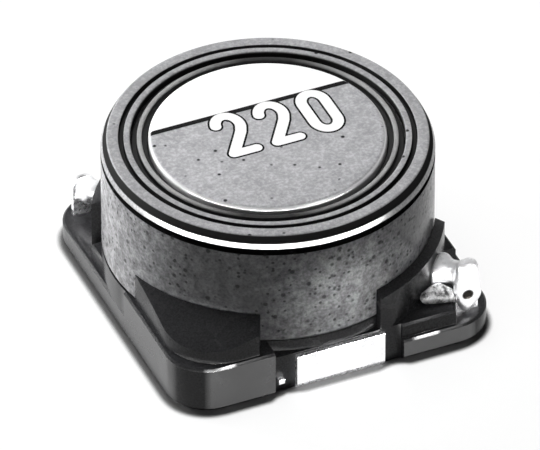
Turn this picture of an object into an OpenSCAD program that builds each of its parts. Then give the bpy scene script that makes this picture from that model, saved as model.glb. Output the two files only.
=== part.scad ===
// Shielded surface-mount inductor: a wound ferrite drum core stands inside
// a ferrite ring core, on a square moulded base with two solder terminals.
// The origin is the middle of the mounting plane and +Z is up. -Y is the
// side of the front terminal. The terminals, the leads and most of the base
// repeat after half a turn, so each is drawn once, at the front.

/* [Overall] */
// Width and depth of the moulded base
base_w = 12.6; // [11:0.1:16]
// Height of the ring core's top face above the mounting plane
top_h = 6.75; // [5.8:0.05:10]

/* [Ring core] */
// Difference in radius between the ring core and the base's half width
ring_margin = 0.2; // [0.2:0.05:0.4]
// How far the cores are glued off the middle of the base, along X
core_x = -0.18; // [-0.2:0.02:0.2]
// How far they are off the middle along Y
core_y = 0.1; // [-0.2:0.02:0.2]
// Radial thickness of the ring core
ring_wall = 1.1; // [0.9:0.05:1.5]
// Width of the sloping outer top edge
rim_w = 0.24; // [0.1:0.02:0.26]
// Height of the sloping outer top edge
rim_h = 0.38; // [0.2:0.02:0.6]
// Size of the inner top chamfer
lip = 0.2; // [0.1:0.02:0.25]
// Width of the shallow groove pressed into the top face
groove_w = 0.2; // [0.1:0.01:0.2]
// Depth of that groove
groove_d = 0.24; // [0.05:0.01:0.3]

/* [Drum core] */
// Width of the gap between the top flange and the ring core
gap_w = 0.64; // [0.5:0.02:0.9]
// Clearance between the bottom flange and the ring core
foot_gap = 0.3; // [0.2:0.02:0.5]
// Thickness of each flange
flange_t = 1.1; // [0.9:0.05:1.4]
// Radius of the post that carries the winding
post_r = 2.6; // [2:0.1:2.8]
// How far the top flange stands above the ring core
flange_rise = 0.05; // [0.02:0.01:0.2]
// Rounding of the top flange's edge
flange_round = 0.15; // [0.05:0.01:0.25]

/* [Winding] */
// Diameter of the enamelled wire
wire_d = 0.45; // [0.3:0.01:0.54]
// Number of layers wound on the post
layers = 3; // [2:1:3]
// Direction in which the start lead leaves, in degrees from +X
lead_angle = -43; // [-46:1:-41]

/* [Spacer] */
// Width of the rib that shows in the gap
rib_w = 0.18; // [0.1:0.01:0.25]
// How far the rib's top lies below the ring core's top face
rib_drop = 0.05; // [0.02:0.01:0.2]
// How far the body of the spacer lies below the ring core's top face
spacer_drop = 0.3; // [0.2:0.02:0.5]
// Height of the spacer's body
spacer_h = 0.7; // [0.4:0.05:0.75]

/* [Base] */
// Rounding of the base's corners
corner_r = 1.6; // [1:0.1:2.2]
// Height of the lower tier, which the two lead corners leave bare
ledge_h = 1.0; // [0.85:0.05:1.1]
// Height of the middle tier
tier_h = 1.6; // [1.5:0.05:1.7]
// Height of the seat under the ring core and of the two full corners
seat_h = 2.05; // [1.95:0.05:2.3]
// How far the middle tier is set back from the lower one
tier_inset = 0.2; // [0.12:0.01:0.2]
// Height of the corner posts where they meet the ring core
post_h = 3.3; // [2.9:0.05:3.6]
// Fall of a post's top for each millimetre outwards
post_slope = 0.47; // [0.2:0.01:0.6]
// How far the posts are set back from the sides of the base
post_inset = 0.18; // [0.1:0.02:0.3]
// Rounding of the posts' outer corners
post_round = 2.1; // [1.6:0.1:2.4]
// Radial thickness of the wall at each lead corner
lead_wall_t = 0.36; // [0.3:0.01:0.45]
// Chamfer on the upper edges
edge = 0.08; // [0.05:0.01:0.1]
// Chamfer around the underside
under_edge = 0.22; // [0.1:0.01:0.3]

/* [Terminals] */
// Thickness of the terminal strip
strip_t = 0.2; // [0.15:0.01:0.25]
// Width of the solder pad
pad_w = 3.5; // [2.5:0.1:4.2]
// Height of the pad on the side of the base
pad_h = 1.52; // [1.2:0.02:1.7]
// Length of the foot under the base
foot_l = 1.9; // [1.2:0.1:2.4]
// How far the feet stand below the base
standoff = 0.05; // [0.02:0.01:0.1]
// Width of the tab that the lead is soldered to
tab_w = 0.9; // [0.7:0.05:1]
// Height of the tab's top above the mounting plane
tab_h = 2.7; // [2.4:0.05:3]

/* [Hidden] */
$fn = 96;

fit = 0.03;                                // clearance of parts that slide together
glue_t = 0.05;                             // thickness of the adhesive under the ring
half = base_w / 2;
core = [core_x, core_y, 0];                // axis of the cores
ring_r = half - ring_margin;
ring_in = ring_r - ring_wall;
ring_z = seat_h + glue_t;
top_r = ring_in - gap_w;                   // top flange
foot_r = ring_in - foot_gap;               // bottom flange
floor_h = 1.5;                             // floor that the drum core stands on
drum_top = top_h + flange_rise;
window_lo = floor_h + flange_t;            // winding window, bottom and top
window_hi = drum_top - flange_t;
turns = floor((window_hi - window_lo) / wire_d);
coil_r = post_r + layers * wire_d;

notch_l = 2.65;                            // ends of the notch that holds the pad
notch_r = 2.45;
notch_d = 0.3;                             // depth of that notch
pad_y = half - 0.1;                        // outer face of the pad
full_end = 0.8;                            // where a full corner ends on the side
pocket_x = half - 1.7;                     // edges of a lead corner's pocket
pocket_y = half - 3.55;

post_a0 = 194.9;                           // arc of a full corner's post
post_a1 = 244;
wall_a0 = 286.5;                           // arc of a lead corner's wall
wall_a1 = 332;
wall_r = ring_r + fit;                     // inner radius of posts and walls
seat_r = ring_r + 0.01;                    // seat under the ring core
sink = 0.3;                                // how far upper shapes run into lower ones

slot_w = wire_d + 0.36;                    // slot that the lead leaves by
slot_z = ring_z - wire_d - 0.05;           // floor of the slot
mouth_z = slot_z + wire_d + 0.6;           // top of its mouth in the wall
lead_z = slot_z + wire_d / 2 + 0.01;
arm_z = 0.47;                              // strip inside the moulding
arm_y = half - 0.75;
arm_w = 0.6;
bend_r = 0.3;
stub_w = 0.25;                             // cut end of the strip beside the pad
stub_x = -(notch_l - 0.3);
tab_x = half - 1;
tab_y = half - 0.8;                        // outer face of the tab

crest_out = 0.62;                          // crest of the lead's loop, off the ring core
crest_turn = 1.6;                          // and round from the slot, in degrees
crest_z = 2.55;
end_z = 2.6;                               // height at which the lead meets the tab
tin = 0.14;                                // thickness of the solder on the loop
start_joint = [3.3, 0.32];                 // top and radius of the solder on a tab
finish_joint = [2.3, 0.3];
dab_r = 0.24;                              // radius of the dabs of cement

// A point around the axis of the cores. In the frame of the part that is
// turned half round, that axis lies on the other side, so side is -1 there.
function around(side, r, a, z) = side * core + [r * cos(a), r * sin(a), z];
function unit(v) = v / norm(v);

// ---- shared shapes -------------------------------------------------------

module rounded_plan(w, r) {
    square([w, w - 2 * r], center = true);
    square([w - 2 * r, w], center = true);
    for (x = [-1, 1], y = [-1, 1])
        translate([x * (w / 2 - r), y * (w / 2 - r)]) circle(r);
}

module rounded_block(w, r, z0, z1) {
    translate([0, 0, z0]) linear_extrude(z1 - z0) rounded_plan(w, r);
}

// What a 45 degree chamfer takes off the upper edge of a rounded block
module chamfer_cut(w, r, c, z) {
    reach = 0.5;
    outline = [[-c, 0], [0, -c], [reach, -c], [reach, reach], [-c, reach]];
    for (k = [0:3]) rotate(90 * k) {
        translate([w / 2, 0, z]) rotate([90, 0, 0])
            linear_extrude(w - 2 * r, center = true) polygon(outline);
        translate([w / 2 - r, w / 2 - r, z])
            rotate_extrude(angle = 90) translate([r, 0]) polygon(outline);
    }
}

module twice() {
    children();
    rotate(180) children();
}

// A stretch of wall around the ring core, its top falling outwards
module ring_side_wall(r_out, a0, a1) {
    top_out = post_h - post_slope * (r_out - wall_r);
    rotate(a0) rotate_extrude(angle = a1 - a0)
        polygon([[wall_r, ledge_h - sink], [r_out, ledge_h - sink], [r_out, top_out], [wall_r, post_h]]);
}

// A round wire through a list of points, as a smooth curve
function spline(p, i, t) =
    let (a = p[max(i - 1, 0)], b = p[i], c = p[i + 1], d = p[min(i + 2, len(p) - 1)])
    0.5 * (2 * b + (c - a) * t + (2 * a - 5 * b + 4 * c - d) * t * t
        + (3 * b - a - 3 * c + d) * t * t * t);

function curve(p, steps) = [
    for (i = [0:len(p) - 2], s = [0:steps - 1]) spline(p, i, s / steps),
    p[len(p) - 1]
];

module wire(points, d, across) {
    sides = 12;
    steps = 5;
    c = curve(points, steps);
    n = len(c);
    rings = [for (i = [0:n - 1])
        let (t = unit(c[min(i + 1, n - 1)] - c[max(i - 1, 0)]),
             u = unit(cross(t, across)),
             v = cross(t, u))
        for (k = [0:sides - 1])
            c[i] + d / 2 * (cos(360 * k / sides) * u + sin(360 * k / sides) * v)];
    walls = [for (i = [0:n - 2], k = [0:sides - 1])
        let (a = i * sides + k, b = i * sides + (k + 1) % sides)
        [a, a + sides, b + sides, b]];
    ends = [[for (k = [0:sides - 1]) k], [for (k = [0:sides - 1]) n * sides - 1 - k]];
    polyhedron(rings, concat(walls, ends));
}

// ---- base ----------------------------------------------------------------

module lower_tier() {
    difference() {
        rounded_block(base_w, corner_r, standoff, ledge_h);
        chamfer_cut(base_w, corner_r, edge, ledge_h);
    }
}

module middle_tier() {
    w = base_w - 2 * tier_inset;
    r = corner_r - tier_inset;
    difference() {
        rounded_block(w, r, ledge_h - sink, tier_h);
        chamfer_cut(w, r, edge, tier_h);
        twice() translate([pocket_x, -half - 1, 0])
            cube([half, half + 1 - pocket_y, tier_h + 1]);
    }
}

// One of the two opposite corners that rise to the seat
module full_corner() {
    intersection() {
        difference() {
            rounded_block(base_w, corner_r, standoff, seat_h);
            chamfer_cut(base_w, corner_r, edge, seat_h);
        }
        translate([-half - 1, -half - 1, 0])
            cube([half + 1 - notch_l, half + 1 - full_end, seat_h]);
    }
}

module corner_posts() {
    intersection() {
        translate(core) twice() ring_side_wall(half * 1.5, post_a0, post_a1);
        rounded_block(base_w - 2 * post_inset, post_round, 0, top_h);
    }
}

module lead_walls(side) {
    difference() {
        intersection() {
            translate(side * core) twice()
                ring_side_wall(wall_r + lead_wall_t, wall_a0, wall_a1);
            rounded_block(base_w - 2 * post_inset, post_round, 0, top_h);
        }
        translate(side * core) twice() lead_slot();
    }
}

module pad_notch() {
    translate([-notch_l, -half - 1, -1])
        cube([notch_l + notch_r, 1 + notch_d, seat_h + 2]);
}

// Way out for the lead, from the drum core's flange to the lead corner
module lead_slot() {
    rotate(lead_angle) translate([0, -slot_w / 2, slot_z]) {
        translate([foot_r - 0.5, 0, 0])
            cube([ring_r - foot_r + 1, slot_w, ring_z - slot_z]);
        translate([ring_r, 0, 0])
            cube([lead_wall_t + 0.5, slot_w, mouth_z - slot_z]);
    }
}

module base() {
    color([0.09, 0.09, 0.1]) difference() {
        union() {
            lower_tier();
            middle_tier();
            translate(core + [0, 0, ledge_h - sink])
                cylinder(r = seat_r, h = seat_h - ledge_h + sink);
            twice() full_corner();
            corner_posts();
            lead_walls(1);
        }
        translate(core + [0, 0, floor_h]) cylinder(r = foot_r + 2 * fit, h = top_h);
        twice() pad_notch();
        translate(core) twice() lead_slot();
        twice() terminal_strip();
        translate([0, 0, standoff]) mirror([0, 0, 1])
            chamfer_cut(base_w, corner_r, under_edge, 0);
    }
}

// ---- magnetic parts ------------------------------------------------------

module drum_core() {
    r = flange_round;
    color([0.42, 0.42, 0.43]) translate(core) difference() {
        rotate_extrude() union() {
            translate([0, floor_h]) square([foot_r, flange_t]);
            translate([0, floor_h]) square([post_r, drum_top - floor_h - flange_t / 2]);
            translate([0, window_hi]) square([top_r, flange_t - r]);
            translate([0, window_hi]) square([top_r - r, flange_t]);
            translate([top_r - r, drum_top - r]) circle(r);
        }
        twice() rotate(lead_angle)
            translate([coil_r - wire_d / 2, -slot_w / 2, floor_h - 1])
            cube([foot_r, slot_w, flange_t + 2]);
    }
}

module ring_core() {
    groove_r = ring_in + lip + 0.05;
    color([0.4, 0.4, 0.41]) translate(core) rotate_extrude()
        polygon([
            [ring_in, ring_z],
            [ring_r - edge, ring_z],
            [ring_r, ring_z + edge],
            [ring_r, top_h - rim_h],
            [ring_r - rim_w, top_h],
            [groove_r + groove_w, top_h],
            [groove_r + groove_w * 0.75, top_h - groove_d],
            [groove_r + groove_w * 0.25, top_h - groove_d],
            [groove_r, top_h],
            [ring_in + lip, top_h],
            [ring_in, top_h - lip],
        ]);
}

// The wound coil as one solid, with the outer layer's turns showing
module winding() {
    steps = 6;
    mid = (window_lo + window_hi) / 2;
    foot = mid - turns * wire_d / 2;
    bumps = [for (i = [0:turns - 1], s = [0:steps])
        let (a = 180 * s / steps)
        [coil_r - wire_d / 2 + wire_d / 2 * sin(a), foot + (i + 0.5 - 0.5 * cos(a)) * wire_d]];
    color([0.6, 0.3, 0.14]) translate(core) rotate_extrude()
        polygon(concat([[post_r, foot + turns * wire_d], [post_r, foot]], bumps));
}

// Resin ring that keeps the gap even: a full-width body and a narrow rib
module spacer_ring() {
    mid = ring_in - gap_w / 2;
    body_hi = top_h - spacer_drop;
    color([0.5, 0.5, 0.5]) translate(core) rotate_extrude() {
        translate([top_r + fit, body_hi - spacer_h])
            square([gap_w - 2 * fit, spacer_h]);
        translate([mid - rib_w / 2, body_hi - spacer_h])
            square([rib_w, spacer_h + spacer_drop - rib_drop]);
    }
}

module seat_adhesive() {
    color([0.75, 0.72, 0.62]) difference() {
        translate(core + [0, 0, seat_h]) cylinder(r = ring_r - edge, h = glue_t);
        translate(core + [0, 0, seat_h - 1]) cylinder(r = ring_in, h = 2);
        twice() pad_notch();
        translate(core) twice() lead_slot();
    }
}

// ---- terminals, leads and joints -----------------------------------------

// Foot and pad seen from the side, with the bend between them rounded
module strip_section() {
    difference() {
        union() {
            square([foot_l, strip_t]);
            square([strip_t, pad_h]);
        }
        difference() {
            translate([-1, -1]) square([1 + bend_r, 1 + bend_r]);
            translate([bend_r, bend_r]) circle(bend_r);
            translate([bend_r, -2]) square([3, 3]);
            translate([-2, bend_r]) square([3, 3]);
        }
    }
}

module terminal_strip() {
    tab_right = tab_x + tab_w / 2;
    translate([-pad_w / 2, -pad_y, 0]) rotate([90, 0, 90])
        linear_extrude(pad_w) strip_section();
    translate([-pad_w / 4, -pad_y + strip_t / 2, arm_z])
        cube([pad_w / 2, pad_y - arm_y + arm_w / 2, strip_t]);
    translate([stub_x - stub_w / 2, -arm_y, arm_z])
        cube([tab_right - stub_x + stub_w / 2, arm_w, strip_t]);
    translate([stub_x - stub_w / 2, -pad_y, arm_z])
        cube([stub_w, pad_y - arm_y + arm_w / 2, strip_t]);
    translate([tab_x - tab_w / 2, -tab_y, arm_z])
        cube([tab_w, strip_t, tab_h - tab_w / 2 - arm_z]);
    translate([tab_x, -tab_y, tab_h - tab_w / 2]) rotate([-90, 0, 0])
        cylinder(d = tab_w, h = strip_t);
}

module front_terminal() {
    color([0.8, 0.8, 0.82]) terminal_strip();
}

module back_terminal() {
    color([0.8, 0.8, 0.82]) rotate(180) terminal_strip();
}

function crest(side) =
    around(side, ring_r + crest_out, lead_angle + crest_turn, crest_z);

lead_end = [tab_x - 0.05, -(tab_y - strip_t - wire_d / 2 - fit), end_z];

// Where the lead has climbed out of the wall's mouth
function lift(side) =
    around(side, ring_r + 0.52, lead_angle + 0.6, lead_z + 0.27);

// The top of its bend, on the way to the tab
function bend(side) =
    let (a = lift(side), b = lead_end)
    [0.65 * a[0] + 0.35 * b[0], 0.65 * a[1] + 0.35 * b[1], 0.3 * a[2] + 0.7 * b[2]];

// From the winding down through the flange, out under the ring, up to the tab
function lead_points(side) =
    let (down = coil_r + wire_d / 2, out = ring_r + 0.05)
    [
        around(side, coil_r + fit, lead_angle, window_lo + wire_d / 2 + 0.05),
        around(side, down + 0.1, lead_angle, window_lo - 0.1),
        around(side, down + 0.42, lead_angle, lead_z + 0.12),
        around(side, (down + out) / 2 + 0.4, lead_angle, lead_z),
        around(side, out, lead_angle, lead_z),
        lift(side),
        bend(side),
        lead_end,
    ];

module lead(side) {
    wire(lead_points(side), wire_d, [-sin(lead_angle), cos(lead_angle), 0]);
}

module start_lead() {
    color([0.62, 0.36, 0.2]) lead(1);
}

module finish_lead() {
    color([0.62, 0.36, 0.2]) rotate(180) lead(-1);
}

module ball(p, r) {
    translate(p) sphere(r, $fn = 20);
}

// Solder over the climbing lead, then along it and down the back of the tab
module loop_solder(side) {
    r = wire_d / 2 + tin;
    foot = [lead_end[0], lead_end[1], lead_end[2] - 0.7];
    hull() {
        ball(crest(side), r);
        ball(around(side, ring_r + r + 0.05, lead_angle - 2, crest_z - 0.27), r);
        ball(around(side, ring_r + r + 0.1, lead_angle - 4.5, lead_z + 0.05), tin);
    }
    hull() {
        ball(crest(side), r - 0.06);
        ball(bend(side), r - 0.06);
    }
    hull() {
        ball(bend(side), r - 0.06);
        ball(lead_end, r - 0.06);
    }
    hull() {
        ball(lead_end, r - 0.06);
        ball(foot, r - 0.06);
    }
}

// Solder heaped on the tab
module tab_solder(joint) {
    height = joint[0];
    girth = joint[1];
    hull() {
        ball([tab_x - 0.1, -(tab_y + 0.1), ledge_h + 0.26], 0.25);
        for (side = [-1, 1]) {
            ball([tab_x + side * 0.26, -(tab_y + 0.02), ledge_h + 0.75], girth);
            ball([tab_x + side * 0.14, -(tab_y - 0.05), height - girth], girth);
        }
    }
}

module solder(side, joint) {
    difference() {
        union() {
            loop_solder(side);
            tab_solder(joint);
        }
        terminal_strip();
        lead(side);
        lead_walls(side);
    }
}

module start_solder() {
    color([0.78, 0.78, 0.8]) solder(1, start_joint);
}

module finish_solder() {
    color([0.78, 0.78, 0.8]) rotate(180) solder(-1, finish_joint);
}

// Dab of cement on the tier, from the mouth of the slot to the tab
module cement(side, joint) {
    off = ring_r + lead_wall_t + dab_r;
    difference() {
        hull() {
            ball(around(side, off, lead_angle - 11, tier_h + 0.3), dab_r);
            ball(around(side, off + 0.1, lead_angle - 5, tier_h + 0.25), dab_r);
            ball([tab_x - tab_w / 2 - 0.1, -(tab_y - 0.05), tier_h + 0.15], dab_r);
        }
        lead(side);
        terminal_strip();
        translate([-half, -half, -1]) cube([base_w, base_w, tier_h + 1]);
        lead_walls(side);
        loop_solder(side);
        tab_solder(joint);
    }
}

module start_cement() {
    color([0.55, 0.55, 0.52]) cement(1, start_joint);
}

module finish_cement() {
    color([0.55, 0.55, 0.52]) rotate(180) cement(-1, finish_joint);
}

base();
drum_core();
ring_core();
winding();
spacer_ring();
seat_adhesive();
front_terminal();
back_terminal();
start_lead();
finish_lead();
start_solder();
finish_solder();
start_cement();
finish_cement();
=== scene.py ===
"""Looks of a shielded surface-mount inductor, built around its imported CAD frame.

All lengths are in metres, in the CAD's frame: the origin is the middle of the
mounting plane, +Z is up and -Y is the side of the front terminal.
"""

import math

import bmesh
import bpy
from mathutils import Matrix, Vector


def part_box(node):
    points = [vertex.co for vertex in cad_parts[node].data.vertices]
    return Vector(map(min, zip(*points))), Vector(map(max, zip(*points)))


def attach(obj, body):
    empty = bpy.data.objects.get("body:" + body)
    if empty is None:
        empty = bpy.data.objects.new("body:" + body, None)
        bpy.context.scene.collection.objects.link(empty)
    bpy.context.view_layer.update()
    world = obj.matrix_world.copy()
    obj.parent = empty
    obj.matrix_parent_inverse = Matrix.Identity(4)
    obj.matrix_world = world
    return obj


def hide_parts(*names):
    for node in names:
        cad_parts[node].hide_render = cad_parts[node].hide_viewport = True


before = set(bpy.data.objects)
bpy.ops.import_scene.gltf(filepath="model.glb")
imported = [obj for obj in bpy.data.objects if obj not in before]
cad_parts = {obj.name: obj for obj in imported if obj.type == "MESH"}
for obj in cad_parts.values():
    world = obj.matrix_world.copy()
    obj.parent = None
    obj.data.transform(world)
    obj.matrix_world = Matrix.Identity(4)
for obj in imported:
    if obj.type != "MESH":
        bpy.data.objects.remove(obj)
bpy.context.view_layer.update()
ROOT = "root"
MM = 0.001

RING_LO, RING_HI = (Vector(v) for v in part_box("ring_core"))
DRUM_LO, DRUM_HI = (Vector(v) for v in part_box("drum_core"))
BASE_LO, BASE_HI = (Vector(v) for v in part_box("base"))
CORE = (RING_LO + RING_HI) / 2             # axis of the cores
RING_R = (RING_HI.x - RING_LO.x) / 2
RING_WALL = 1.1 * MM
RING_IN = RING_R - RING_WALL
TOP_R = RING_IN - 0.64 * MM                # top flange of the drum core
FLANGE_ROUND = 0.2 * MM
PRINT_T = 0.012 * MM                       # room kept for the ink on the flange
DRUM_TOP = DRUM_HI.z - PRINT_T
SEGMENTS = 288                             # steps round a turned piece
DENT = Vector((5.2, -5.78, 1.93)) * MM     # pit in the solder on the front tab, coloured dark


# ---------------------------------------------------------------- meshes

def new_object(name, verts, faces, smooth=True):
    mesh = bpy.data.meshes.new(name)
    mesh.from_pydata([tuple(v) for v in verts], [], faces)
    mesh.validate()
    obj = bpy.data.objects.new(name, mesh)
    bpy.context.scene.collection.objects.link(obj)
    bm = bmesh.new()
    bm.from_mesh(mesh)
    bmesh.ops.recalc_face_normals(bm, faces=bm.faces)
    bm.to_mesh(mesh)
    bm.free()
    for p in mesh.polygons:
        p.use_smooth = smooth
    return obj


def apply_modifiers(obj):
    bpy.context.view_layer.objects.active = obj
    for m in list(obj.modifiers):
        bpy.ops.object.modifier_apply(modifier=m.name)


def rounded(points, radii, closed=True, steps=5):
    """A polygon in 2D with each corner rounded to its radius."""
    out = []
    n = len(points)
    for i, (p, r) in enumerate(zip(points, radii)):
        if r <= 0 or (not closed and i in (0, n - 1)):
            out.append(Vector(p))
            continue
        p = Vector(p)
        a = Vector(points[i - 1]) - p
        b = Vector(points[(i + 1) % n]) - p
        half = a.angle(b) / 2
        cut = min(r / math.tan(half), a.length * 0.48, b.length * 0.48)
        r = cut * math.tan(half)
        a.normalize()
        b.normalize()
        mid = p + (a + b).normalized() * (r / math.sin(half))
        start, end = p + a * cut - mid, p + b * cut - mid
        turn = start.angle_signed(end)
        for k in range(steps + 1):
            t = -turn * k / steps
            out.append(mid + Vector((start.x * math.cos(t) - start.y * math.sin(t),
                                     start.x * math.sin(t) + start.y * math.cos(t))))
    return out


def lathe(name, profile, closed=True):
    """Turns an (r, z) profile round the axis of the cores."""
    n = len(profile)
    verts, faces = [], []
    for s in range(SEGMENTS):
        a = 2 * math.pi * s / SEGMENTS
        for r, z in profile:
            verts.append((CORE.x + r * math.cos(a), CORE.y + r * math.sin(a), z))
    last = n if closed else n - 1
    for s in range(SEGMENTS):
        t = (s + 1) % SEGMENTS
        for i in range(last):
            j = (i + 1) % n
            faces.append((s * n + i, t * n + i, t * n + j, s * n + j))
    obj = new_object(name, verts, faces)
    bm = bmesh.new()
    bm.from_mesh(obj.data)
    bmesh.ops.remove_doubles(bm, verts=bm.verts, dist=1e-8)
    bmesh.ops.recalc_face_normals(bm, faces=bm.faces)
    for e in bm.edges:
        e.smooth = len(e.link_faces) != 2 or e.calc_face_angle(0) < math.radians(40)
    bm.to_mesh(obj.data)
    bm.free()
    return obj


def bevelled_copy(node, name, width):
    """The CAD node's own shape, with its edges broken as on a moulded part."""
    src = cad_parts[node]
    bm = bmesh.new()
    bm.from_mesh(src.data)
    bmesh.ops.remove_doubles(bm, verts=bm.verts, dist=2e-7)
    bmesh.ops.dissolve_limit(bm, angle_limit=math.radians(0.4), verts=bm.verts, edges=bm.edges)
    mesh = bpy.data.meshes.new(name)
    bm.to_mesh(mesh)
    bm.free()
    mesh.materials.clear()
    obj = bpy.data.objects.new(name, mesh)
    obj.matrix_world = src.matrix_world
    bpy.context.scene.collection.objects.link(obj)
    for p in mesh.polygons:
        p.use_smooth = True
    edges = obj.modifiers.new("edges", "BEVEL")
    edges.width = width
    edges.segments = 3
    edges.limit_method = "ANGLE"
    edges.angle_limit = math.radians(25)
    edges.use_clamp_overlap = True
    edges.miter_outer = "MITER_ARC"
    faces = obj.modifiers.new("faces", "TRIANGULATE")
    faces.keep_custom_normals = True
    normals = obj.modifiers.new("normals", "WEIGHTED_NORMAL")
    normals.weight = 80
    normals.keep_sharp = True
    apply_modifiers(obj)
    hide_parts(node)
    return obj


def melted_copy(node, name, voxel, rounds, fills=()):
    """The CAD node's shape as one soft lump, such as solder. The fills are balls
    (centre and radius) that run into it."""
    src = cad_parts[node]
    obj = bpy.data.objects.new(name, src.data.copy())
    obj.data.materials.clear()
    obj.matrix_world = src.matrix_world
    bpy.context.scene.collection.objects.link(obj)
    bm = bmesh.new()
    bm.from_mesh(obj.data)
    for centre, radius in fills:
        ball = bmesh.ops.create_icosphere(bm, subdivisions=3, radius=radius)
        bmesh.ops.translate(bm, verts=ball["verts"], vec=centre)
    bm.to_mesh(obj.data)
    bm.free()
    skin = obj.modifiers.new("skin", "REMESH")
    skin.mode = "VOXEL"
    skin.voxel_size = voxel
    skin.use_smooth_shade = True
    flow = obj.modifiers.new("flow", "CORRECTIVE_SMOOTH")
    flow.iterations = rounds
    flow.factor = 0.5
    flow.use_only_smooth = True
    apply_modifiers(obj)
    for p in obj.data.polygons:
        p.use_smooth = True
    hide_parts(node)
    return obj


def dent(obj, point, radius, depth):
    """Presses a round pit into a surface."""
    mesh = obj.data
    for v in mesh.vertices:
        d = (v.co - point).length / radius
        if d < 1:
            v.co = v.co - v.normal * (depth * (1 - d * d) ** 2)
    mesh.update()


# ---------------------------------------------------------------- materials

# The low refractive indices make ferrite and resin dull. Levels other than
# GLOSS_AS_IS raise or lower their gloss in places.
GLOSS_AS_IS = 0.5
FERRITE_INDEX = 1.268
FERRITE_RIM_GLOSS = 3.33                   # dark rim, and the edge painted pale as a highlight
FERRITE_TOP_GLOSS = 1.0                    # ground top
RESIN_INDEX = 1.278
RESIN_END_GLOSS = 3.0                      # outermost faces at front and back
RESIN_SIDE_GLOSS = 1.9                     # outermost faces at the two sides
RESIN_TOP_GLOSS = 0.35                     # what faces up
RESIN_SPOT_GLOSS = 5.0                     # slopes near polished points


def grey(value):
    return (value, value, value)


def feed(tree, socket, value):
    """Gives a socket another node's output or a plain value."""
    if isinstance(value, bpy.types.NodeSocket):
        tree.links.new(value, socket)
    else:
        socket.default_value = value


def math_node(tree, kind, a, b):
    """Works out one value from two, each a number or another node's output."""
    n = tree.nodes.new("ShaderNodeMath")
    n.operation = kind
    feed(tree, n.inputs[0], a)
    feed(tree, n.inputs[1], b)
    return n.outputs[0]


def map_range(tree, value, from_min=0.0, from_max=1.0, to_min=0.0, to_max=1.0):
    """Carries a value from one span to another, and stops at its ends."""
    n = tree.nodes.new("ShaderNodeMapRange")
    limits = {"From Min": from_min, "From Max": from_max, "To Min": to_min, "To Max": to_max}
    feed(tree, n.inputs["Value"], value)
    for key, limit in limits.items():
        feed(tree, n.inputs[key], limit)
    return n.outputs[0]


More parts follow.
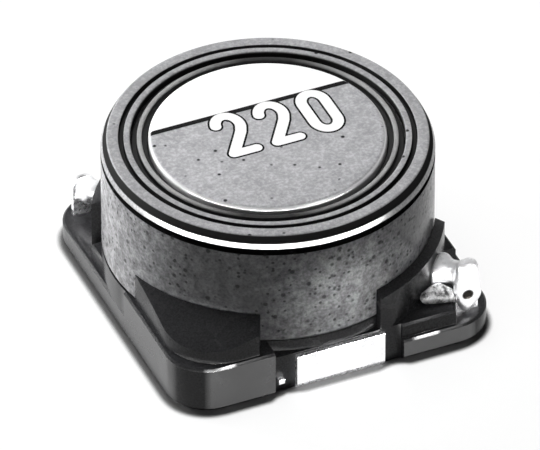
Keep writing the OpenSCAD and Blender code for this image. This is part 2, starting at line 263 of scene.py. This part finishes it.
class Nodes:
    """A short way to write a node material."""

    def __init__(self, name):
        self.mat = bpy.data.materials.new(name)
        self.mat.use_nodes = True
        self.tree = self.mat.node_tree
        self.bsdf = self.tree.nodes["Principled BSDF"]
        coord = self.tree.nodes.new("ShaderNodeTexCoord")
        self.object = coord.outputs["Object"]

    def put(self, node, **inputs):
        """Feeds a node's inputs, named with _ for each blank."""
        for key, value in inputs.items():
            feed(self.tree, node.inputs[key.replace("_", " ")], value)

    def noise(self, scale, detail, rough):
        n = self.tree.nodes.new("ShaderNodeTexNoise")
        self.put(n, Vector=self.object, Scale=scale, Detail=detail, Roughness=rough)
        return n.outputs["Fac"]

    def pits(self, scale, size, rare):
        """Round spots: 1 inside a spot. The rarer, the fewer cells hold one."""
        n = self.tree.nodes.new("ShaderNodeTexVoronoi")
        self.put(n, Vector=self.object, Scale=scale, Randomness=1.0)
        spot = self.ramp(n.outputs["Distance"], [(size * 0.55, 1.0), (size, 0.0)])
        pick = self.math("GREATER_THAN", self.channel(n.outputs["Color"]), rare)
        return self.math("MULTIPLY", spot, pick)

    def channel(self, colour):
        """The first channel of a colour, as a number."""
        n = self.tree.nodes.new("ShaderNodeSeparateColor")
        self.tree.links.new(colour, n.inputs[0])
        return n.outputs[0]

    def step(self, value, level, blur):
        """0 where the value is below the level, 1 where it is above."""
        return map_range(self.tree, value, level - blur, level + blur)

    def parts(self, vector):
        """X, Y and Z of a vector."""
        n = self.tree.nodes.new("ShaderNodeSeparateXYZ")
        self.tree.links.new(vector, n.inputs[0])
        return n.outputs

    def upward(self):
        """How far a surface faces up: 0 on an upright one, 1 on a level one."""
        return self.parts(self.tree.nodes.new("ShaderNodeNewGeometry").outputs["Normal"])[2]

    def above(self, level, blur):
        """1 higher than a level."""
        return self.step(self.parts(self.object)[2], level, blur)

    def outward(self):
        """Level vector from the axis of the cores."""
        flat = self.tree.nodes.new("ShaderNodeVectorMath")
        flat.operation = "MULTIPLY_ADD"
        self.tree.links.new(self.object, flat.inputs[0])
        flat.inputs[1].default_value = (1, 1, 0)
        flat.inputs[2].default_value = (-CORE.x, -CORE.y, 0)
        return flat.outputs[0]

    def beyond(self, radius, blur):
        """1 farther from the axis of the cores than a radius."""
        n = self.tree.nodes.new("ShaderNodeVectorMath")
        n.operation = "LENGTH"
        self.tree.links.new(self.outward(), n.inputs[0])
        return self.step(n.outputs["Value"], radius, blur)

    def near(self, point, radius, blur):
        """1 within a radius of a point."""
        n = self.tree.nodes.new("ShaderNodeVectorMath")
        n.operation = "DISTANCE"
        self.tree.links.new(self.object, n.inputs[0])
        n.inputs[1].default_value = point
        return self.math("SUBTRACT", 1.0, self.step(n.outputs["Value"], radius, blur))

    def band(self, lo, hi, blur):
        """1 between two distances from the axis of the cores."""
        return self.math("SUBTRACT", self.beyond(lo, blur), self.beyond(hi, blur))

    def ramp(self, fac, stops):
        """A scale of greys."""
        n = self.tree.nodes.new("ShaderNodeValToRGB")
        self.tree.links.new(fac, n.inputs["Fac"])
        while len(n.color_ramp.elements) > len(stops):
            n.color_ramp.elements.remove(n.color_ramp.elements[-1])
        while len(n.color_ramp.elements) < len(stops):
            n.color_ramp.elements.new(1.0)
        for e, (at, value) in zip(n.color_ramp.elements, stops):
            e.position = at
            e.color = (*grey(value), 1)
        return n.outputs["Color"]

    def mix(self, fac, a, b, kind="MIX"):
        n = self.tree.nodes.new("ShaderNodeMix")
        n.data_type = "RGBA"
        n.blend_type = kind
        feed(self.tree, n.inputs[0], fac)
        for socket, colour in ((n.inputs[6], a), (n.inputs[7], b)):
            feed(self.tree, socket, (*colour, 1) if isinstance(colour, tuple) else colour)
        return n.outputs[2]

    def math(self, kind, a, b=0.0):
        return math_node(self.tree, kind, a, b)

    def bump(self, height, depth, strength, under=None):
        """A fine relief, on top of another one if there is one under it."""
        n = self.tree.nodes.new("ShaderNodeBump")
        self.put(n, Height=height, Distance=depth, Strength=strength)
        if under:
            self.tree.links.new(under, n.inputs["Normal"])
        return n.outputs["Normal"]


def ferrite(name, ground, skin, level, rim, groove=None, edge=None, lines=()):
    """Sintered ferrite: a pale ground top above one level, a smooth dark rim
    above the other, and a speckled skin below. A groove is painted dark as shade, an edge
    beyond a radius is painted pale as a highlight and each band between two heights is
    painted dark as shade."""
    m = Nodes(name)
    grain = m.noise(8500, 3, 0.6)
    cloud = m.noise(2600, 2, 0.5)
    wide = m.noise(500, 2, 0.5)
    top = m.above(level, 0.02 * MM)
    upper = m.above(rim, 0.02 * MM)
    tone = m.mix(top, skin, ground)
    rough = m.mix(top, m.ramp(grain, [(0.34, 0.68), (0.66, 1.28)]),
                  m.ramp(grain, [(0.34, 0.74), (0.66, 1.2)]))
    tone = m.mix(1.0, tone, rough, "MULTIPLY")
    patchy = m.mix(upper, m.ramp(cloud, [(0.34, 0.72), (0.66, 1.24)]),
                   m.ramp(cloud, [(0.34, 0.9), (0.66, 1.08)]))
    tone = m.mix(1.0, tone, patchy, "MULTIPLY")
    tone = m.mix(1.0, tone, m.ramp(wide, [(0.3, 0.93), (0.7, 1.07)]), "MULTIPLY")
    pit = m.math("MAXIMUM", m.pits(5400, 0.42, 0.82), m.pits(3400, 0.4, 0.84))
    few = m.pits(2600, 0.24, 0.86)
    pit = m.math("MULTIPLY", pit, m.mix(upper, grey(0.75), grey(0.0)))
    pit = m.math("MAXIMUM", pit, m.math("MULTIPLY", few, m.mix(upper, grey(0.0), top)))
    # Painted shade: the groove is darkened as if in shadow.
    if groove:
        groove_shade = m.math("SUBTRACT", m.band(*groove, 0.01 * MM), top)
        tone = m.mix(groove_shade, tone, grey(0.012))
    bright = m.mix(top, grey(FERRITE_RIM_GLOSS), grey(FERRITE_TOP_GLOSS))
    # Painted shade: each band between two heights is made dark and loses its gloss.
    shade_bands = 0.0
    for lo, hi, dark in lines:
        shade_band = m.math("SUBTRACT", m.above(lo, 0.015 * MM), m.above(hi, 0.015 * MM))
        tone = m.mix(shade_band, tone, grey(dark))
        shade_bands = m.math("ADD", shade_bands, shade_band)
    # Painted highlight: the edge beyond the radius is made pale and glossier.
    if edge:
        edge_light = m.math("MULTIPLY", m.beyond(edge, 0.02 * MM), upper)
        tone = m.mix(edge_light, tone, (0.75, 0.75, 0.76))
        bright = m.mix(edge_light, bright, grey(FERRITE_RIM_GLOSS))
    tone = m.mix(pit, tone, tuple(c * 0.12 for c in skin))
    m.put(m.bsdf, Base_Color=tone, IOR=FERRITE_INDEX)
    shine = m.mix(upper, grey(GLOSS_AS_IS), bright)
    shine = m.mix(shade_bands, shine, grey(0.0))
    m.put(m.bsdf, Specular_IOR_Level=m.math("MULTIPLY", m.math("SUBTRACT", 1.0, pit), shine))
    m.put(m.bsdf, Roughness=m.mix(top, m.ramp(grain, [(0.3, 0.28), (0.7, 0.18)]),
                                  m.ramp(grain, [(0.3, 0.3), (0.7, 0.2)])))
    n = m.bump(grain, 0.006 * MM, 0.6)
    n = m.bump(m.math("MULTIPLY", pit, -1.0), 0.012 * MM, 0.8, n)
    m.put(m.bsdf, Normal=n)
    return m.mat


def black_resin(name, outer, polished):
    """Moulded black resin with a fine filler grain. Its outermost upright faces
    are shiny, those at front and back most. The rest is dull, but for sloping
    edges near polished points, each with a radius."""
    m = Nodes(name)
    grain = m.noise(14000, 3, 0.6)
    flow = m.noise(700, 3, 0.6)
    tone = m.mix(m.ramp(grain, [(0.35, 0), (0.7, 1)]),
                 (0.014, 0.014, 0.015), (0.034, 0.034, 0.036))
    m.put(m.bsdf, Base_Color=tone, IOR=RESIN_INDEX)
    m.put(m.bsdf, Roughness=m.ramp(flow, [(0.3, 0.20), (0.7, 0.3)]))
    x, y, _ = m.parts(m.object)
    beside = m.step(m.math("ABSOLUTE", x), outer, 0.05 * MM)
    before = m.step(m.math("ABSOLUTE", y), outer, 0.05 * MM)
    upward = m.upward()
    raised = m.step(upward, 0.3, 0.1)
    slope = m.math("SUBTRACT", raised, m.step(upward, 0.9, 0.05))
    shine = m.mix(beside, grey(GLOSS_AS_IS), grey(RESIN_SIDE_GLOSS))
    shine = m.mix(before, shine, grey(RESIN_END_GLOSS))
    shine = m.mix(raised, shine, grey(RESIN_TOP_GLOSS))
    for point, radius in polished:
        spot = m.math("MULTIPLY", slope, m.near(point, radius, 0.1 * MM))
        shine = m.mix(spot, shine, grey(RESIN_SPOT_GLOSS))
    m.put(m.bsdf, Specular_IOR_Level=m.channel(shine))
    n = m.bump(grain, 0.004 * MM, 0.6)
    n = m.bump(flow, 0.02 * MM, 0.3, n)
    m.put(m.bsdf, Normal=n)
    return m.mat


def tin(name, tone, rough, grain, lumps=0.0, metal=1.0, spot=None):
    """Tin or solder, frosted where it faces up; round the spot it is dark and has no gloss."""
    m = Nodes(name)
    fine = m.noise(6000, 3, 0.6)
    wide = m.noise(1100, 2, 0.5)
    colour = m.mix(m.ramp(wide, [(0.35, 0), (0.65, 1)]),
                   tuple(c * 0.93 for c in tone), tone)
    # A dark spot with no gloss fills the pit.
    if spot:
        dark_spot = m.near(spot, 0.22 * MM, 0.03 * MM)
        colour = m.mix(dark_spot, colour, (0.02, 0.018, 0.016))
        m.put(m.bsdf, Specular_IOR_Level=m.math("SUBTRACT", 0.5, dark_spot))
    metal = m.mix(m.step(m.upward(), 0.35, 0.25), grey(1.0), grey(metal))
    m.put(m.bsdf, Base_Color=colour, Metallic=m.channel(metal))
    m.put(m.bsdf, Roughness=m.ramp(fine, [(0.3, rough + 0.06), (0.7, rough - 0.06)]))
    n = m.bump(fine, grain, 0.5)
    if lumps:
        n = m.bump(wide, lumps, 0.6, n)
    m.put(m.bsdf, Normal=n)
    return m.mat


def plain(name, dark, pale, scale, rough, depth, sheen=0.5, spread=0.2):
    """A cured or printed surface, mottled between two greys."""
    m = Nodes(name)
    mott = m.noise(scale, 4, 0.6)
    lean = m.ramp(mott, [(0.5 - spread, 0), (0.5 + spread, 1)])
    m.put(m.bsdf, Base_Color=m.mix(lean, grey(dark), grey(pale)))
    m.put(m.bsdf, Roughness=m.ramp(mott, [(0.3, rough - 0.06), (0.7, rough + 0.06)]))
    m.put(m.bsdf, Normal=m.bump(mott, depth, 0.6))
    m.bsdf.inputs["Specular IOR Level"].default_value = sheen
    return m.mat


def spacer_resin(name, level, across):
    """Cast resin, painted near black as shade in the gap and on the rib, whose top is painted
    grey as lit but for the two places that lie square to one direction."""
    m = Nodes(name)
    mott = m.noise(5000, 4, 0.6)
    # Painted shade: near black in the gap and on the rib.
    low = m.mix(mott, grey(0.01), grey(0.035))
    high = m.mix(mott, grey(0.22), grey(0.46))
    n = m.tree.nodes.new("ShaderNodeVectorMath")
    n.operation = "DOT_PRODUCT"
    m.tree.links.new(m.outward(), n.inputs[0])
    n.inputs[1].default_value = across
    # Painted light: the rib's top is grey where it runs along the given direction.
    lit_rib = m.step(m.math("ABSOLUTE", n.outputs["Value"]), 0.5 * TOP_R, 0.3 * TOP_R)
    lit_rib = m.math("MULTIPLY", lit_rib, m.above(level, 0.02 * MM))
    m.put(m.bsdf, Base_Color=m.mix(lit_rib, low, high))
    m.put(m.bsdf, Roughness=m.ramp(mott, [(0.3, 0.45), (0.7, 0.6)]))
    m.put(m.bsdf, Normal=m.bump(mott, 0.01 * MM, 0.6))
    m.bsdf.inputs["Specular IOR Level"].default_value = 0.2
    return m.mat


def enamel(name):
    """Copper wire under clear enamel."""
    m = Nodes(name)
    turn = m.noise(2500, 3, 0.5)
    m.put(m.bsdf, Base_Color=m.mix(m.ramp(turn, [(0.3, 0), (0.7, 1)]),
                                   (0.32, 0.09, 0.03), (0.52, 0.19, 0.07)), Metallic=0.7)
    m.put(m.bsdf, Roughness=m.ramp(turn, [(0.3, 0.22), (0.7, 0.34)]))
    m.bsdf.inputs["Coat Weight"].default_value = 0.6
    m.put(m.bsdf, Normal=m.bump(turn, 0.004 * MM, 0.5))
    return m.mat


# The ring's groove and the bands under and above its rim's highlight line are painted shade.
M_RING = ferrite("ferrite_ring", (0.36, 0.36, 0.37), (0.33, 0.33, 0.34),
                 RING_HI.z - 0.03 * MM, RING_HI.z - 0.48 * MM,
                 groove=(RING_IN + 0.24 * MM, RING_IN + 0.46 * MM),
                 lines=((RING_HI.z - 0.74 * MM, RING_HI.z - 0.48 * MM, 0.008),
                        (RING_HI.z - 0.3 * MM, RING_HI.z - 0.03 * MM, 0.03)))
# The flange's edge is painted pale as a highlight.
M_DRUM = ferrite("ferrite_drum", (0.44, 0.44, 0.455), (0.28, 0.28, 0.29),
                 DRUM_HI.z - 0.06 * MM, DRUM_HI.z - 0.4 * MM,
                 edge=TOP_R - 0.09 * MM)
M_RESIN = black_resin("black_resin", BASE_HI.y - 0.11 * MM,
                      [(Vector((3.35, -6.3, 1.0)) * MM, 0.48 * MM),
                       (Vector((-4.8, -6.25, 2.0)) * MM, 0.55 * MM)])
M_TIN = tin("tinned_strip", (0.93, 0.93, 0.94), 0.28, 0.0004 * MM)
M_SOLDER = tin("solder", (0.93, 0.93, 0.94), 0.3, 0.003 * MM, 0.02 * MM, 0.1, DENT)
M_WIRE = enamel("enamelled_copper")
M_GLUE = plain("adhesive", 0.05, 0.09, 4000, 0.5, 0.01 * MM)
# The rib is painted lit where it runs across the view and painted dark at front and back.
M_SPACER = spacer_resin("grey_resin", RING_HI.z - 0.12 * MM, (0.92, -0.4, 0))
M_CEMENT = plain("cement", 0.03, 0.9, 4600, 0.5, 0.05 * MM, spread=0.1)
M_INK = plain("white_ink", 0.92, 0.96, 5000, 0.45, 0.002 * MM)
# Painted shade: the dark lines round the white print.
M_SHADE = plain("painted_shade_lines", 0.006, 0.016, 5000, 0.5, 0.002 * MM, sheen=0.05)


def paint(obj, material):
    obj.data.materials.clear()
    obj.data.materials.append(material)


def finish_piece(obj, material):
    """Paints a drawn piece and fixes it to the body."""
    paint(obj, material)
    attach(obj, ROOT)
    return obj


# ---------------------------------------------------------------- cores

def make_ring():
    z0, z1 = RING_LO.z, RING_HI.z
    outline = [                            # radius, height and rounding of each corner
        (RING_IN, z0, 0.04), (RING_R, z0, 0.1),
        (RING_R, z1 - 0.7 * MM, 0.02), (RING_R - 0.04 * MM, z1 - 0.67 * MM, 0.015),
        (RING_R - 0.04 * MM, z1 - 0.53 * MM, 0.015), (RING_R, z1 - 0.5 * MM, 0.02),
        (RING_R, z1 - 0.46 * MM, 0.04), (RING_R - 0.11 * MM, z1 - 0.22 * MM, 0.05),
        (RING_R - 0.24 * MM, z1, 0.08),
        (RING_IN + 0.45 * MM, z1, 0.03), (RING_IN + 0.43 * MM, z1 - 0.24 * MM, 0.04),
        (RING_IN + 0.27 * MM, z1 - 0.24 * MM, 0.04), (RING_IN + 0.25 * MM, z1, 0.02),
        (RING_IN + 0.06 * MM, z1, 0.04), (RING_IN, z1 - 0.06 * MM, 0.04),
    ]
    profile = rounded([(r, z) for r, z, _ in outline], [f * MM for _, _, f in outline], steps=8)
    ring = lathe("ring_core_ground", profile)
    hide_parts("ring_core")
    finish_piece(ring, M_RING)


def make_drum():
    z0, z1 = DRUM_LO.z, DRUM_TOP
    foot_r, post_r, t = RING_IN - 0.3 * MM, 2.6 * MM, 1.1 * MM
    pts = [(0, z0), (foot_r, z0), (foot_r, z0 + t), (post_r, z0 + t), (post_r, DRUM_HI.z - t),
           (TOP_R, DRUM_HI.z - t), (TOP_R, z1), (0, z1)]
    radii = [0, 0.1 * MM, 0.1 * MM, 0.2 * MM, 0.2 * MM, 0.06 * MM, FLANGE_ROUND, 0]
    drum = lathe("drum_core_ground", rounded(pts, radii, closed=False, steps=8), closed=False)
    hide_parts("drum_core")
    finish_piece(drum, M_DRUM)


def make_spacer():
    z1 = RING_HI.z
    mid, body, rib = (RING_IN + TOP_R) / 2, z1 - 0.3 * MM, z1 - 0.05 * MM
    lo = body - 0.7 * MM
    a, b = TOP_R + 0.03 * MM, RING_IN - 0.03 * MM
    w = 0.09 * MM
    pts = [(a, lo), (b, lo), (b, body), (mid + w, body), (mid + w, rib), (mid - w, rib),
           (mid - w, body), (a, body)]
    radii = [r * MM for r in (0.02, 0.02, 0.04, 0.05, 0.05, 0.05, 0.05, 0.04)]
    ring = lathe("spacer_ring_cast", rounded(pts, radii))
    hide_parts("spacer_ring")
    finish_piece(ring, M_SPACER)


make_ring()
make_drum()
make_spacer()


# ---------------------------------------------------------------- print

CHORD = 0.30 * RING_R                      # front edge of the white field
FLAT_R = TOP_R - FLANGE_ROUND
DIGIT_SIZE = (1.3 * MM, 2.6 * MM)          # width and height
DIGIT_PEN = 0.41 * MM
DIGIT_AT = (-0.185, 0.095, 0.375)          # middle of each digit, in radii of the ring
DIGIT_ROW = 0.085                          # middle of the row, likewise


def skin_z(x, y, lift):
    """Height of the flange's surface, its rounded edge included."""
    over = max(0.0, math.hypot(x, y) - FLAT_R)
    over = min(over, FLANGE_ROUND * 0.95)
    return DRUM_TOP + lift - (FLANGE_ROUND - math.sqrt(FLANGE_ROUND ** 2 - over ** 2))


def field(name, y0, y1, edge, lift, material):
    """Ink on the flange between two lines along X; y1 None runs to the edge."""
    cols, rows = 120, 24
    verts, faces = [], []
    reach = math.sqrt(edge ** 2 - y0 ** 2)
    for i in range(cols + 1):
        x = -reach * math.cos(math.pi * i / cols)
        top = math.sqrt(max(edge ** 2 - x ** 2, y0 ** 2))
        if y1 is not None:
            top = min(top, y1)
        for k in range(rows + 1):
            y = y0 + (top - y0) * (1 - (1 - k / rows) ** 2)
            verts.append((CORE.x + x, CORE.y + y, skin_z(x, y, lift)))
    for i in range(cols):
        for k in range(rows):
            a = i * (rows + 1) + k
            faces.append((a, a + rows + 1, a + rows + 2, a + 1))
    obj = new_object(name, verts, faces)
    return finish_piece(obj, material)


def arc(cx, cy, rx, ry, a0, a1, steps=18):
    return [(cx + rx * math.cos(math.radians(a0 + (a1 - a0) * k / steps)),
             cy + ry * math.sin(math.radians(a0 + (a1 - a0) * k / steps)))
            for k in range(steps + 1)]


# Centre lines of the digits, in a cell one wide and two high
DIGITS = {
    "0": (arc(0.5, 1.5, 0.5, 0.5, 180, 0) + arc(0.5, 0.5, 0.5, 0.5, 0, -180), True),
    "2": (arc(0.5, 1.48, 0.5, 0.52, 170, -22)
          + [(0.84, 1.04), (0.62, 0.76), (0.0, 0.0), (1.0, 0.0)], False),
}


def chords(points, half, closed):
    """Pairs of points across a pen line, one pair after the other along it."""
    pts = [Vector(p) for p in points]
    n = len(pts)
    pairs = []
    for i, p in enumerate(pts):
        ends = not closed and i in (0, n - 1)
        before = (p - pts[i - 1]).normalized() if closed or i else (pts[1] - p).normalized()
        after = before if not closed and i == n - 1 else (pts[(i + 1) % n] - p).normalized()
        if not i and not closed:
            after = before
        n1, n2 = Vector((-before.y, before.x)), Vector((-after.y, after.x))
        turn = n1.angle_signed(n2)
        mitre = (n1 + n2).normalized() * (half / math.cos(turn / 2))
        if abs(turn) < math.radians(40):
            row = [(p + mitre, p - mitre)]
        else:                              # round the outer side of a sharp corner
            row = []
            for k in range(9):
                a = -turn * k / 8
                out = Vector((n1.x * math.cos(a) - n1.y * math.sin(a),
                              n1.x * math.sin(a) + n1.y * math.cos(a))) * half
                row.append((p + mitre, p - out) if turn < 0 else (p + out, p - mitre))
        if ends:                           # round the end of the line
            cap = []
            for k in range(1, 9):
                a = math.pi / 2 * k / 8
                back = before * (-half * math.cos(a) if not i else half * math.cos(a))
                side = n1 * half * math.sin(a)
                cap.append((p + back + side, p + back - side))
            row = cap if not i else cap[::-1]
        pairs += row
    return pairs


def stroke(name, points, closed, width, place, lift, material):
    """A pen line of even width on the flange, with round ends, as one sheet."""
    pairs = chords(points, width / 2, closed)
    verts = [(place.x + p.x, place.y + p.y, DRUM_TOP + lift) for pair in pairs for p in pair]
    n = len(pairs)
    faces = [(2 * i, 2 * i + 1, 2 * ((i + 1) % n) + 1, 2 * ((i + 1) % n))
             for i in range(n if closed else n - 1)]
    obj = new_object(name, verts, faces, smooth=False)
    bm = bmesh.new()
    bm.from_mesh(obj.data)
    bmesh.ops.remove_doubles(bm, verts=bm.verts, dist=1e-9)
    for f in bm.faces:
        if f.normal.z < 0:
            f.normal_flip()
    bm.to_mesh(obj.data)
    bm.free()
    return finish_piece(obj, material)


def make_print():
    field("print_field", CHORD, None, TOP_R - 0.02 * MM, 0.009 * MM, M_INK)
    # A dark band along the white field's front edge, painted shade.
    field("print_edge_shade", CHORD - 0.22 * MM, CHORD, TOP_R - 0.1 * MM, 0.006 * MM, M_SHADE)
    wide, tall = (size - DIGIT_PEN for size in DIGIT_SIZE)
    for k, (digit, x) in enumerate(zip("220", DIGIT_AT)):
        line, closed = DIGITS[digit]
        place = CORE + Vector((x * RING_R, DIGIT_ROW * RING_R, 0))
        pts = [((u - 0.5) * wide, (v / 2 - 0.5) * tall) for u, v in line]
        stroke(f"print_digit_{k}", pts, closed, DIGIT_PEN, place, 0.009 * MM, M_INK)
        # A dark outline round each digit, painted shade.
        stroke(f"print_outline_shade_{k}", pts, closed, DIGIT_PEN + 0.15 * MM, place, 0.005 * MM,
               M_SHADE)


make_print()


# ---------------------------------------------------------------- base and trim

# Balls of solder, centre and radius, that fill the hollow between lead and tab
START_FILL = (Vector((4.84, -4.7, 2.15)) * MM, 0.36 * MM)
FINISH_FILL = (Vector((-5.2, 4.9, 2.15)) * MM, 0.33 * MM)

finish_piece(bevelled_copy("base", "base_moulded", 0.035 * MM), M_RESIN)
for node in ("front_terminal", "back_terminal"):
    finish_piece(bevelled_copy(node, node + "_formed", 0.03 * MM), M_TIN)
for node, fill in (("start_solder", START_FILL), ("finish_solder", FINISH_FILL)):
    lump = melted_copy(node, node + "_flowed", 0.04 * MM, 60, fills=[fill])
    dent(lump, DENT, 0.24 * MM, 0.12 * MM)  # reaches the front one only
    finish_piece(lump, M_SOLDER)
for node in ("start_cement", "finish_cement"):
    finish_piece(melted_copy(node, node + "_dab", 0.03 * MM, 6), M_CEMENT)
for node, material in (("start_lead", M_SOLDER), ("finish_lead", M_SOLDER),
                       ("winding", M_WIRE), ("seat_adhesive", M_GLUE)):
    paint(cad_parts[node], material)


# ---------------------------------------------------------------- studio

def white_rays(tree):
    """1 for rays from the camera, and for those a gloss or glass sends on."""
    ray = tree.nodes.new("ShaderNodeLightPath").outputs
    seen = math_node(tree, "MAXIMUM", ray["Is Camera Ray"], ray["Is Glossy Ray"])
    return math_node(tree, "MAXIMUM", seen, ray["Is Transmission Ray"])


WORLD_LIGHT = 0.05                         # what the backdrop gives to matt surfaces
CEILING = 0.12                             # how bright the ceiling is
CEILING_EDGE = (0.45, 0.85)                # sine of the elevation where it begins and is full
FLOOR_HALF = 0.6                           # half of its width
FLOOR_GREY = 0.14                          # what it returns of the lamps' light
FLOOR_GLOW = 0.88                          # how bright it looks by itself
SHADE_REACH = 0.5 * MM                     # how far a piece darkens the floor round it
SHADE_OPEN = (0.66, 0.86)                  # open share of the sky where that is full and none
BEAM_SOURCE = 0.0015                       # radius of a beam's lamp
CARD = (0.17, 0.03)                        # width and height of most cards
CARD_AWAY = 0.2                            # their distance


def make_world():
    """A white backdrop under a dark ceiling; it lights matt surfaces only a little."""
    world = bpy.data.worlds.new("studio")
    bpy.context.scene.world = world
    world.use_nodes = True
    tree = world.node_tree
    bg = tree.nodes["Background"]
    bg.inputs["Color"].default_value = (1, 1, 1, 1)
    coord = tree.nodes.new("ShaderNodeTexCoord")
    xyz = tree.nodes.new("ShaderNodeSeparateXYZ")
    tree.links.new(coord.outputs["Generated"], xyz.inputs[0])
    seen = map_range(tree, xyz.outputs[2], *CEILING_EDGE, 1.0, CEILING)
    strength = map_range(tree, white_rays(tree), to_min=WORLD_LIGHT, to_max=seen)
    tree.links.new(strength, bg.inputs["Strength"])


def make_floor():
    """A grey floor that glows white, but for a fine shade where the part stands."""
    r = FLOOR_HALF
    floor = new_object("floor", [(-r, -r, 0), (r, -r, 0), (r, r, 0), (-r, r, 0)], [(0, 1, 2, 3)])
    mat = bpy.data.materials.new("floor")
    mat.use_nodes = True
    tree = mat.node_tree
    tree.nodes.clear()
    out = tree.nodes.new("ShaderNodeOutputMaterial")
    diff = tree.nodes.new("ShaderNodeBsdfDiffuse")
    diff.inputs["Color"].default_value = (*grey(FLOOR_GREY), 1)
    glow = tree.nodes.new("ShaderNodeEmission")
    shade = tree.nodes.new("ShaderNodeAmbientOcclusion")
    shade.inputs["Distance"].default_value = SHADE_REACH
    open_sky = map_range(tree, shade.outputs["AO"], *SHADE_OPEN)
    lit = math_node(tree, "MULTIPLY", white_rays(tree), open_sky)
    tree.links.new(math_node(tree, "MULTIPLY", lit, FLOOR_GLOW), glow.inputs["Strength"])
    add = tree.nodes.new("ShaderNodeAddShader")
    tree.links.new(diff.outputs[0], add.inputs[0])
    tree.links.new(glow.outputs[0], add.inputs[1])
    tree.links.new(add.outputs[0], out.inputs["Surface"])
    floor.data.materials.append(mat)


def direction(azimuth, elevation):
    """From the object towards a point round it; azimuth 0 is the side of -Y."""
    a, e = math.radians(azimuth), math.radians(elevation)
    return Vector((math.sin(a) * math.cos(e), -math.cos(a) * math.cos(e), math.sin(e)))


def aimed(name, data, target, azimuth, elevation, distance):
    """A lamp or camera at a distance from its target, turned to it."""
    back = direction(azimuth, elevation)
    obj = bpy.data.objects.new(name, data)
    obj.location = target + back * distance
    obj.rotation_mode = "QUATERNION"
    obj.rotation_quaternion = back.to_track_quat("Z", "Y")
    bpy.context.scene.collection.objects.link(obj)
    return obj


TARGET = Vector((0, 0, 3.5 * MM))


def softbox(name, azimuth, elevation, distance, size, level, gloss_only=False):
    """An area lamp. The level is what it adds to a white face turned to it.

    Shiny surfaces don't show it. With gloss_only it is a card that only they
    show, and the level is how bright it is.
    """
    data = bpy.data.lights.new(name, "AREA")
    data.shape = "RECTANGLE"
    data.size, data.size_y = size
    if gloss_only:
        data.energy = level * math.pi * size[0] * size[1]
    else:
        data.energy = level * math.pi ** 2 * distance ** 2
    lamp = aimed(name, data, TARGET, azimuth, elevation, distance)
    lamp.visible_diffuse = not gloss_only
    lamp.visible_glossy = gloss_only


def beam(name, azimuth, elevation, distance, target, cone, level):
    """A narrow soft spot. The level is what it adds to a white face turned to it."""
    data = bpy.data.lights.new(name, "SPOT")
    data.spot_size = math.radians(cone)
    data.spot_blend = 1.0
    data.shadow_soft_size = BEAM_SOURCE
    data.energy = level * 4 * math.pi ** 2 * distance ** 2
    lamp = aimed(name, data, target, azimuth, elevation, distance)
    lamp.visible_glossy = False


AZIMUTH, ELEVATION = -23.5, 38.4           # the viewing angle
DISTANCE = 0.366
VIEW_WIDTH = 19.64 * MM                    # what the picture's width spans at that distance
AIM_RIGHT, AIM_DOWN = 0.08, 3.27           # picture's middle from the cores' axis, in mm
SENSOR = 36                                # width, in mm


def make_camera():
    back = direction(AZIMUTH, ELEVATION)
    right = Vector((math.cos(math.radians(AZIMUTH)), math.sin(math.radians(AZIMUTH)), 0))
    up = back.cross(right)
    aim = Vector((CORE.x, CORE.y, RING_HI.z)) + right * AIM_RIGHT * MM - up * AIM_DOWN * MM
    data = bpy.data.cameras.new("camera")
    data.sensor_width = SENSOR
    data.lens = SENSOR * DISTANCE / VIEW_WIDTH
    data.clip_start = 0.01
    data.clip_end = 5
    bpy.context.scene.camera = aimed("camera", data, aim, AZIMUTH, ELEVATION, DISTANCE)


make_world()
make_floor()
softbox("top", -160, 76, 0.12, (0.07, 0.07), 0.9)
softbox("left", -142, 8, 0.12, (0.04, 0.05), 1.9)
beam("front_beam", 12, 14, 0.08, Vector((0.3 * MM, BASE_LO.y, 3.7 * MM)), 2.9, 1.0)
softbox("card_front", AZIMUTH, 11, CARD_AWAY, CARD, 70, gloss_only=True)
softbox("card_left", AZIMUTH - 50, 7, CARD_AWAY, CARD, 80, gloss_only=True)
softbox("card_far_left", AZIMUTH - 98, 5, CARD_AWAY, (0.17, 0.025), 20, gloss_only=True)
softbox("card_right", AZIMUTH + 50, 7, CARD_AWAY, CARD, 70, gloss_only=True)
softbox("card_high", AZIMUTH, 42, CARD_AWAY, (0.3, 0.05), 4, gloss_only=True)
softbox("card_edge", 27, 46, 0.1, (0.03, 0.02), 20, gloss_only=True)
make_camera()
bpy.context.scene.view_settings.view_transform = "Standard"
